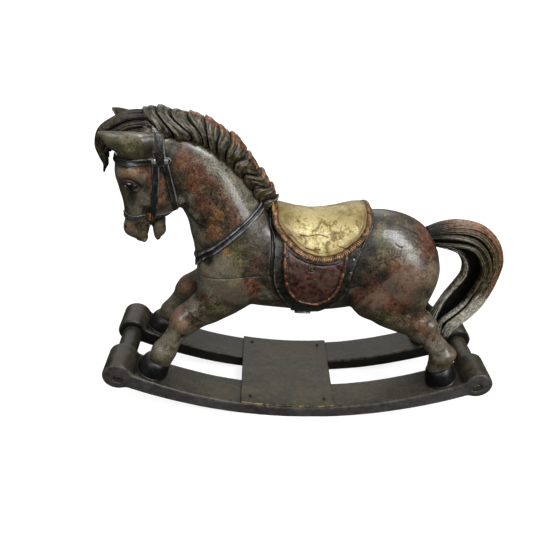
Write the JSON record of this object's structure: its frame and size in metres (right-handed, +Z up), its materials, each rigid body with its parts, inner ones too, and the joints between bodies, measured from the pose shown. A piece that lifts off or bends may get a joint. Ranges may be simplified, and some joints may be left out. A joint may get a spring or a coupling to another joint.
{
  "type": "rocking horse",
  "caption": "Carved and painted rocking horse in a gallop, saddled and bridled, standing on two broad curved rockers joined by cross rods and a footboard.",
  "frame": {"origin": "the point on the floor under the lowest line of the rockers, on the middle plane, halfway along them", "axes": "+Z up; -X is forward, the way the horse faces; +Y is the horse's right side"},
  "size_m": [0.4, 0.112, 0.3109],
  "materials": {
    "rocker_paint": "dark olive-charcoal paint, worn to ochre wood along the edges, satin",
    "board_paint": "dark olive-brown paint, rubbed to ochre along the edges, satin",
    "worn_steel": "darkened steel nail heads, rubbed bright",
    "screw_steel": "plain zinc-plated steel",
    "hoof_lacquer": "glossy black lacquer on turned wood",
    "bare_wood": "unfinished beech dowel",
    "leg_paint": "distressed pinkish-grey paint with orange at the joints, pitted and crackled, semi-gloss",
    "coat_paint": "distressed grey-green, rust and brown paint, pitted and crackled, semi-gloss",
    "eye_lacquer": "glossy painted eye",
    "hair_paint": "carved locks in dark olive-brown with copper on the crests, satin",
    "dark_leather": "dark green-black leather with pale piping, satin",
    "aged_brass": "aged brass, darkened in the recesses",
    "burgundy_leather": "burgundy leather, rubbed to copper at the edges, satin",
    "gold_leaf": "champagne-gold leafed seat, scratched, with ochre edges",
    "copper_trim": "roped copper-brown trim",
    "strap_leather": "black strap leather with silver-grey worn edges, semi-gloss"
  },
  "bodies": {
    "root": {"rocker_left": "rocker_paint", "rocker_right": "rocker_paint", "rod_front": "rocker_paint", "rod_rear": "rocker_paint", "footboard": "board_paint", "footboard_nails": "worn_steel", "hoof_fore_left": "hoof_lacquer", "hoof_fore_right": "hoof_lacquer", "hoof_hind_left": "hoof_lacquer", "hoof_hind_right": "hoof_lacquer", "hoof_screws": "screw_steel", "leg_fore_left": "leg_paint", "leg_fore_right": "leg_paint", "leg_hind_left": "leg_paint", "leg_hind_right": "leg_paint", "leg_dowels": "bare_wood", "torso": "coat_paint", "neck": "coat_paint", "head": "coat_paint", "neck_dowels": "bare_wood", "ear_left": "coat_paint", "ear_right": "coat_paint", "eyes": "eye_lacquer", "mane": "hair_paint", "forelock": "hair_paint", "tail": "hair_paint", "tail_dowel": "bare_wood", "saddle_cloth": "dark_leather", "cloth_rivets": "aged_brass", "girth_buckle": "aged_brass", "flap_left": "burgundy_leather", "flap_right": "burgundy_leather", "flap_buttons": "aged_brass", "seat": "gold_leaf", "seat_trim": "copper_trim", "breast_collar": "strap_leather", "crownpiece": "strap_leather", "browband": "strap_leather", "cheekpiece_left": "strap_leather", "cheekpiece_right": "strap_leather", "noseband": "strap_leather", "throatlatch": "strap_leather", "bit_rings": "aged_brass"}
  },
  "joints": []
}
